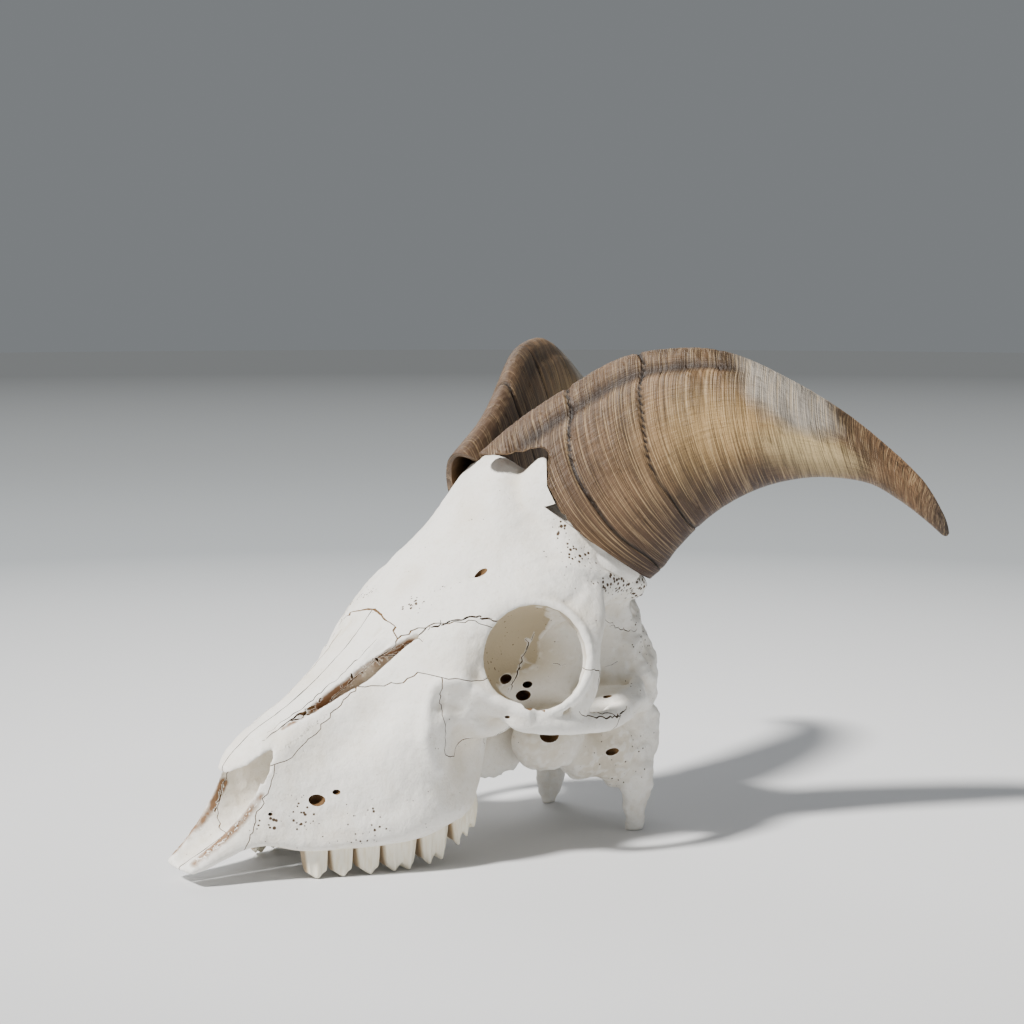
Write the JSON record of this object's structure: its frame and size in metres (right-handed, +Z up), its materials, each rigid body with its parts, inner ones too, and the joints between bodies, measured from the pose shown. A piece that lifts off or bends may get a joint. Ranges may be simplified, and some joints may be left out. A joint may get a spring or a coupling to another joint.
{
  "type": "goat skull",
  "caption": "Dry skull of an adult goat without its lower jaw, with both horn sheaths on, resting on its cheek teeth and the points behind the ears.",
  "frame": {"origin": "centre of the bounding box's underside, on the floor under the middle of the skull and horns", "axes": "+Z up; the nose points to -X and the horn tips to +X; the skull's own left side is -Y, right side +Y"},
  "size_m": [0.283, 0.2288, 0.1953],
  "materials": {
    "bone": "matte, bleached bone",
    "horn": "weathered keratin, fine growth lines"
  },
  "bodies": {
    "root": {"cranium": "bone", "nasal_left": "bone", "nasal_right": "bone", "premaxilla_left": "bone", "premaxilla_right": "bone", "lacrimal_left": "bone", "lacrimal_right": "bone", "zygomatic_left": "bone", "zygomatic_right": "bone", "maxilla_left": "bone", "maxilla_right": "bone", "horn_left": "horn", "horn_right": "horn"}
  },
  "joints": []
}
